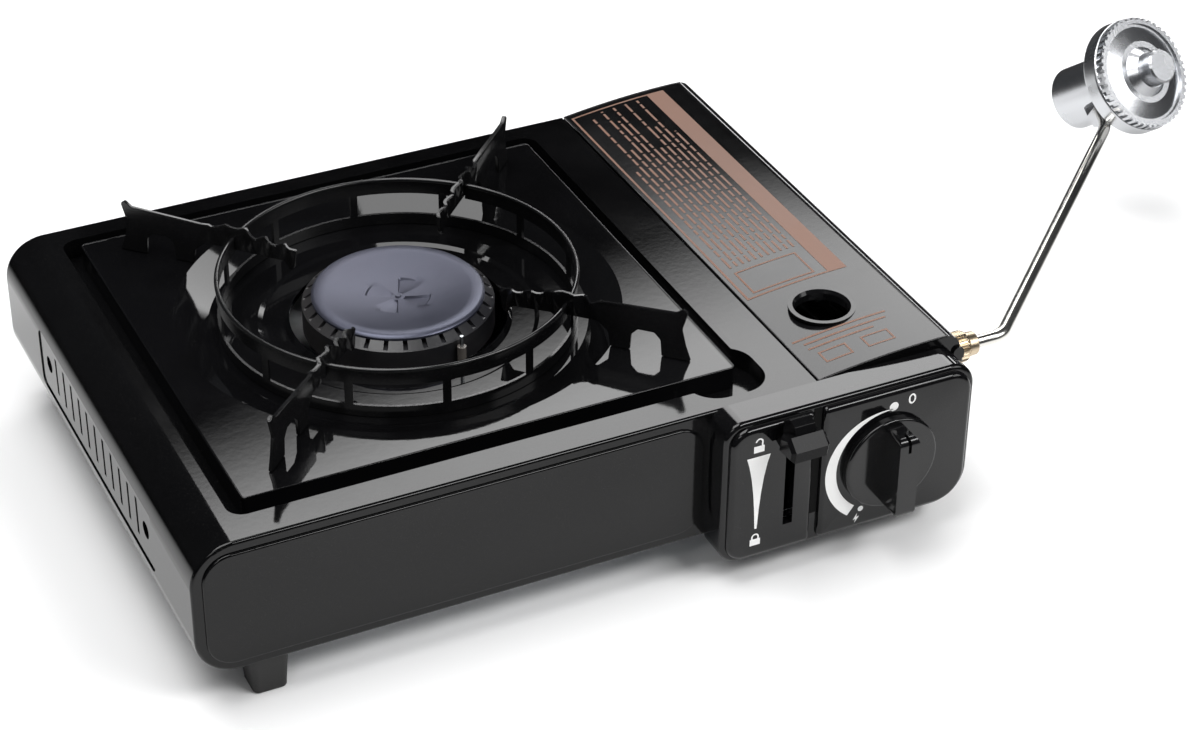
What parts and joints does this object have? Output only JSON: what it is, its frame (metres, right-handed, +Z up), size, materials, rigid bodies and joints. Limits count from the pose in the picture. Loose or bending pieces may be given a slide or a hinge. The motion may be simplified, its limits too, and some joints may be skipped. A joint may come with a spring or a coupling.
{
  "type": "cassette stove",
  "caption": "Flat tabletop gas stove: round burner in a lift-out tray, toothed pan-support arms, hinged cartridge lid, turn knob, lock lever and a bent side pipe with a bottle regulator.",
  "frame": {"origin": "on the table plane, at the middle of the front left foot's underside", "axes": "+X to the control and cartridge side, +Y to the back, +Z up"},
  "size_m": [0.5682, 0.2816, 0.1079],
  "materials": {
    "black_enamel": "gloss",
    "tray_enamel": "gloss",
    "iron_enamel": "satin",
    "burner_grey": "satin",
    "galvanised": "satin",
    "die_cast": "matte",
    "brass": "satin",
    "black_plastic": "gloss",
    "knob_plastic": "satin",
    "rubber": "matte",
    "nickel": "gloss",
    "regulator_metal": "satin",
    "ceramic": "gloss",
    "white_plastic": "matte",
    "wire_sleeve": "satin"
  },
  "bodies": {
    "stove": {"case_shell": "black_enamel", "base_plate": "galvanised", "heat_shield": "galvanised", "base_screws": "nickel", "burner_base": "die_cast", "burner_head": "iron_enamel", "burner_cap": "burner_grey", "mixing_tube": "galvanised", "jet_carrier": "galvanised", "gas_jet": "brass", "gas_pipe": "galvanised", "burner_bracket": "galvanised", "can_saddles": "rubber", "valve_body": "die_cast", "cartridge_socket": "die_cast", "socket_seal": "rubber", "control_housing": "black_plastic", "lock_panel": "black_plastic", "knob_panel": "black_plastic", "piezo_igniter": "white_plastic", "hinge_pins": "galvanised", "inlet_fitting": "brass", "inlet_tube": "galvanised", "ignition_electrode": "galvanised", "electrode_insulator": "ceramic", "electrode_clip": "galvanised", "ignition_wire": "wire_sleeve", "foot_front_left": "rubber", "foot_front_right": "rubber", "foot_rear_left": "rubber", "foot_rear_right": "rubber"},
    "knob": {"knob": "knob_plastic", "valve_stem": "brass", "striker_cam": "white_plastic"},
    "striker": {"piezo_plunger": "white_plastic"},
    "lock_lever": {"lever_arm": "galvanised", "lever_grip": "knob_plastic"},
    "carriage": {"cartridge_carriage": "galvanised"},
    "lid": {"lid": "black_enamel"},
    "tray": {"drip_tray": "tray_enamel"},
    "pan_support": {"support_ring": "iron_enamel", "arm_rear_right": "iron_enamel", "arm_rear_left": "iron_enamel", "arm_front_left": "iron_enamel", "arm_front_right": "iron_enamel"},
    "adapter": {"adapter_pipe": "nickel", "regulator_body": "regulator_metal", "regulator_drum": "regulator_metal", "regulator_cover": "regulator_metal", "regulator_boss": "regulator_metal"},
    "nut": {"coupling_nut": "nickel"}
  },
  "joints": [
    {"name": "knob_turn", "type": "hinge", "parent": "stove", "child": "knob", "pos_m": [0.26655, -0.03005, 0.0448], "axis": [0, -1, 0], "range_deg": [0, 150]},
    {"name": "striker_push", "type": "slide", "parent": "stove", "child": "striker", "axis": [1, 0, 0], "range_m": [0, 0.004]},
    {"name": "lever_slide", "type": "slide", "parent": "stove", "child": "lock_lever", "axis": [0, 0, -1], "range_m": [0, 0.036]},
    {"name": "carriage_slide", "type": "slide", "parent": "stove", "child": "carriage", "axis": [0, -1, 0], "range_m": [0, 0.006]},
    {"name": "lid_hinge", "type": "hinge", "parent": "stove", "child": "lid", "pos_m": [0.30905, 0.11395, 0.0753], "axis": [0, 1, 0], "range_deg": [0, 100]},
    {"name": "tray_lift", "type": "slide", "parent": "stove", "child": "tray", "axis": [0, 0, 1], "range_m": [0, 0.06]},
    {"name": "support_lift", "type": "slide", "parent": "tray", "child": "pan_support", "axis": [0, 0, 1], "range_m": [0, 0.04]},
    {"name": "adapter_swivel", "type": "hinge", "parent": "stove", "child": "adapter", "pos_m": [0.31975, 0.00945, 0.063], "axis": [1, 0, 0], "range_deg": [-8, 90]},
    {"name": "nut_turn", "type": "hinge", "parent": "adapter", "child": "nut", "pos_m": [0.31975, 0.00945, 0.063], "axis": [1, 0, 0], "continuous": true}
  ],
  "couplings": [
    {"joint": "striker_push", "follows": "knob_turn", "m_per_rad": 0.0015279},
    {"joint": "carriage_slide", "follows": "lever_slide", "ratio": 0.16667}
  ]
}
